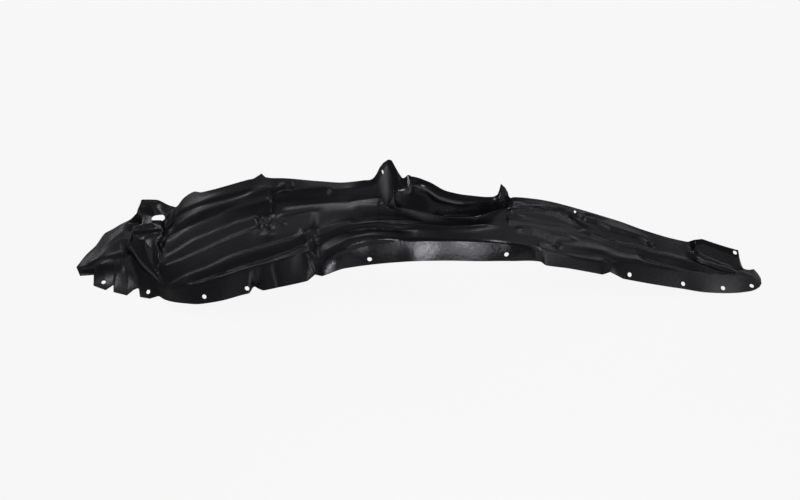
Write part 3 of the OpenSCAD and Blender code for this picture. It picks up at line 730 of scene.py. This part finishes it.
def sheet_plastic(finish):
    """Black sheet plastic: satin where it is ribbed, glossy where it was drawn over the mould,
    with highlights painted pale on crests and along bends.
    """
    s = Shader(bpy.data.materials.new("liner_plastic"))
    place = s.node("ShaderNodeTexCoord").outputs["Object"]

    def zone(name):
        return s.value(s.node("ShaderNodeAttribute", {"attribute_name": name}), "Fac")

    def noise(scale, detail, roughness=0.5):
        return s.value(s.node("ShaderNodeTexNoise", Vector=place, Scale=scale, Detail=detail,
                              Roughness=roughness))

    crest = zone("crest")
    cloud = noise(scale=14.0, detail=4.0, roughness=0.55)    # dusty patches
    grain = noise(scale=420.0, detail=3.0, roughness=0.6)    # fine grain of the mould
    peel = noise(scale=150.0, detail=2.0)                    # slow waves of the drawn sheet
    specks = noise(scale=900.0, detail=1.0)                  # dust
    roughness = (finish.satin - zone("gloss") * (finish.satin - finish.gloss)
                 + (cloud - 0.5) * 0.16 + (grain - 0.5) * 0.10 - crest * 0.04)
    # paler where it is dusty, with a painted highlight on the sharp crests
    dark = tuple(finish.plastic)
    pale = (*[min(1.0, c * 2.6 + 0.012) for c in dark[:3]], 1.0)
    dust_and_highlight = ((cloud - 0.35) * 0.5 + crest * 0.2 + (specks - 0.62) * 0.8).clamp()
    colour = s.mixed_colour(dust_and_highlight, dark, pale)
    # painted highlights: the painted highlight lines turn the colour pale grey
    highlighted_colour = s.mixed_colour(zone("highlight_paint").clamp(), colour, (0.34, 0.34, 0.36, 1.0))
    fine = s.node("ShaderNodeBump", Strength=0.10, Distance=0.0006, Height=grain)
    bump = s.node("ShaderNodeBump", Strength=0.14, Distance=0.0015, Height=peel,
                  Normal=fine.outputs[0])
    body = s.node("ShaderNodeBsdfPrincipled", Base_Color=highlighted_colour, Roughness=roughness.clamp(),
                  Normal=bump.outputs[0], IOR=1.49, Specular_Tint=(0.93, 0.92, 1.0, 1.0))
    s.node("ShaderNodeOutputMaterial", Surface=body.outputs[0])
    return s.owner


def stage_white(colour):
    """Pale floor that the camera sees as white, with the part's soft shadow kept."""
    s = Shader(bpy.data.materials.new("stage_white"))
    seen = s.value(s.node("ShaderNodeLightPath"), "Is Camera Ray")
    plain = s.node("ShaderNodeBsdfDiffuse", Color=(*[c * FLOOR_SHADE for c in colour[:3]], 1.0))
    glow = s.node("ShaderNodeEmission", Color=tuple(colour), Strength=1.0)
    mix = s.node("ShaderNodeMixShader", i0=(seen * FLOOR_GLOW).clamp(), i1=plain.outputs[0],
                 i2=glow.outputs[0])
    s.node("ShaderNodeOutputMaterial", Surface=mix.outputs[0])
    return s.owner


def studio_room():
    """Even grey light from all sides, behind which the camera sees white."""
    s = Shader(bpy.data.worlds.new("studio"))
    seen = s.value(s.node("ShaderNodeLightPath"), "Is Camera Ray")
    room = s.node("ShaderNodeBackground", Color=ROOM_COLOUR, Strength=ROOM_STRENGTH)
    back = s.node("ShaderNodeBackground", Color=WHITE, Strength=1.0)
    mix = s.node("ShaderNodeMixShader", i0=seen, i1=room.outputs[0], i2=back.outputs[0])
    s.node("ShaderNodeOutputWorld", Surface=mix.outputs[0])
    return s.owner


# Pieces

def linked_object(context, name, data):
    """Put an object for a mesh, lamp or camera into the scene."""
    made = bpy.data.objects.new(name, data)
    context.scene.collection.objects.link(made)
    return made


def finished_mesh(bm, name):
    """Mesh of a bmesh, which is freed."""
    mesh = bpy.data.meshes.new(name)
    bm.to_mesh(mesh)
    bm.free()
    return mesh


def crowded_stations(shape):
    """Stations of the rows of faces: closer where rows crowd, and one at each corner."""
    fine = np.linspace(*STATION_ENDS, 4001)
    weight = np.ones_like(fine)
    for station, reach, extra in STATION_CROWD:
        weight += extra * np.exp(-((fine - station) / reach) ** 2)
    total = np.concatenate([[0], np.cumsum((weight[1:] + weight[:-1]) / 2)])
    stations = np.interp(np.linspace(0, total[-1], shape.rows_along + 1), total, fine)
    for corner in CORNER_STATIONS:
        stations[np.argmin(np.abs(stations - corner))] = corner
    return stations


def upper_face(shape):
    """Mesh of the sheet's upper face, with the zones of its finish and of its painted highlights
    as attributes.
    """
    stations = crowded_stations(shape)
    spans = [np.linspace(low, high, rows, endpoint=False) for low, high, rows in ACROSS_SPANS]
    across = np.concatenate(spans + [[float(LAST_GUIDE)]])
    places = formed_places(stations, across, shape)
    columns = len(stations) - 1
    rows = len(across) - 1
    bm = bmesh.new()
    bmesh.ops.create_grid(bm, x_segments=columns, y_segments=rows, size=1.0)
    zones = [
        (bm.verts.layers.float.new("gloss"), gloss_zone(stations[:, None], across[None, :])),
        # the crest zone also paints a pale highlight along the crests
        (bm.verts.layers.float.new("crest"), crest_zone(places)),
        # where pale highlight lines are painted on the colour
        (bm.verts.layers.float.new("highlight_paint"), painted_highlight_zone(stations[:, None], across[None, :])),
    ]
    for vert in bm.verts:
        i = round((vert.co.x + 1) / 2 * columns)
        j = round((vert.co.y + 1) / 2 * rows)
        vert.co = Vector((places[i, j] + SHIFT) * MM)
        for layer, zone in zones:
            vert[layer] = float(zone[i, j])
    bmesh.ops.recalc_face_normals(bm, faces=bm.faces)
    bm.normal_update()
    if sum(f.normal.z for f in bm.faces) < 0:
        bmesh.ops.reverse_faces(bm, faces=bm.faces)
    return finished_mesh(bm, "formed_sheet")


def punch_place(station, v, shape):
    """Place of a punch on the sheet, with its axis square to the sheet."""
    place = Vector(sheet_face(station, v, shape) + SHIFT) * MM
    normal = Vector(face_normal(station, v, shape))
    turn = Vector((0, 0, 1)).rotation_difference(normal).to_matrix().to_4x4()
    return Matrix.Translation(place) @ turn


def hole_punches(context, shape):
    """Round punches for the clip holes and a long one for the drain slot, square to the sheet."""
    bm = bmesh.new()
    holes = [(*hole, shape.hole_diameter) for hole in CLIP_HOLES]
    for station, v, size in [*holes, (*LOCATING_HOLE, shape.locating_diameter)]:
        bmesh.ops.create_cone(
            bm, cap_ends=True, segments=32, radius1=size / 2, radius2=size / 2, depth=HOLE_PUNCH,
            matrix=punch_place(station, v, shape))
    slot = bmesh.ops.create_cone(bm, cap_ends=True, segments=32, radius1=SLOT_RADIUS,
                                 radius2=SLOT_RADIUS, depth=SLOT_PUNCH)
    for vert in slot["verts"]:
        vert.co.x += SLOT_HALF_RUN if vert.co.x > 0 else -SLOT_HALF_RUN
    bmesh.ops.transform(bm, matrix=punch_place(*DRAIN_SLOT, shape), verts=slot["verts"])
    return linked_object(context, "punches", finished_mesh(bm, "punches"))


class LINER_OT_sheet(bpy.types.Operator):
    """Form the liner's sheet over its guide lines, give it its thickness and punch its holes"""

    bl_idname = "liner.sheet"
    bl_label = "Form the sheet"

    def execute(self, context):
        shape = context.scene.liner_shape
        sheet = linked_object(context, "formed_sheet", upper_face(shape))
        wall = sheet.modifiers.new("wall", "SOLIDIFY")
        wall.thickness = shape.thickness
        wall.offset = -1.0
        punch = hole_punches(context, shape)
        cut = sheet.modifiers.new("punch", "BOOLEAN")
        cut.operation = "DIFFERENCE"
        cut.solver = "EXACT"
        cut.object = punch
        evaluated = sheet.evaluated_get(context.evaluated_depsgraph_get())
        finished = bpy.data.meshes.new_from_object(evaluated)
        sheet.modifiers.clear()
        sheet.data = finished
        finished.name = "formed_sheet"
        bpy.data.objects.remove(punch)
        for polygon in finished.polygons:
            polygon.use_smooth = True
        finished.set_sharp_from_angle(angle=SHARP_ANGLE)
        finished.materials.clear()
        finished.materials.append(sheet_plastic(context.scene.liner_finish))
        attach(sheet, "root")
        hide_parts(NODE)
        return {"FINISHED"}


class LINER_OT_stage(bpy.types.Operator):
    """Lay the floor, light the studio and set the camera"""

    bl_idname = "liner.stage"
    bl_label = "Set the stage"

    def execute(self, context):
        stage = context.scene.liner_stage
        bm = bmesh.new()
        bmesh.ops.create_grid(bm, x_segments=2, y_segments=2, size=FLOOR_HALF,
                              matrix=Matrix.Translation((0, 0, -FLOOR_GAP)))
        floor = linked_object(context, "floor", finished_mesh(bm, "floor"))
        floor.data.materials.append(stage_white(stage.floor))
        self.lamps(context)
        context.scene.world = studio_room()
        self.camera(context, stage)
        return {"FINISHED"}

    def lamps(self, context):
        for name, place, aim, size, power in LAMPS:
            lamp = bpy.data.lights.new(name, "AREA")
            lamp.shape = "RECTANGLE"
            lamp.size, lamp.size_y = size
            lamp.energy = power
            holder = linked_object(context, name, lamp)
            holder.location = place
            towards = Vector(aim) - Vector(place)
            holder.rotation_euler = towards.to_track_quat("-Z", "Y").to_euler()

    def camera(self, context, stage):
        data = bpy.data.cameras.new("camera")
        data.lens = stage.lens
        data.sensor_width = FRAME_WIDTH
        data.clip_end = VIEW_END
        aim = Vector(CAMERA_AIM) * MM
        back = Vector((0, -math.cos(stage.elevation), math.sin(stage.elevation)))
        holder = linked_object(context, "camera", data)
        holder.location = aim + back * stage.distance
        holder.rotation_euler = (-back).to_track_quat("-Z", "Y").to_euler()
        context.scene.camera = holder
        context.scene.view_settings.view_transform = "Standard"


class LINER_PT_panel(bpy.types.Panel):
    """Lists the liner's steps and settings"""

    bl_idname = "LINER_PT_panel"
    bl_label = "Wheel arch liner"
    bl_space_type = "VIEW_3D"
    bl_region_type = "UI"
    bl_category = "Liner"

    def draw(self, context):
        layout = self.layout
        for operator in OPERATORS:
            layout.operator(operator.bl_idname)
        for name, group in GROUPS.items():
            box = layout.box()
            for key in group.__annotations__:
                box.prop(getattr(context.scene, name), key)


GROUPS = {"liner_shape": LinerShape, "liner_finish": LinerFinish, "liner_stage": LinerStage}
OPERATORS = [LINER_OT_sheet, LINER_OT_stage]
CLASSES = [*GROUPS.values(), *OPERATORS, LINER_PT_panel]


def register():
    for cls in CLASSES:
        bpy.utils.register_class(cls)
    for name, cls in GROUPS.items():
        setattr(bpy.types.Scene, name, bpy.props.PointerProperty(type=cls))


def unregister():
    for name in GROUPS:
        delattr(bpy.types.Scene, name)
    for cls in reversed(CLASSES):
        bpy.utils.unregister_class(cls)


def main():
    register()
    bpy.ops.liner.sheet()
    bpy.ops.liner.stage()


if __name__ == "__main__":
    main()
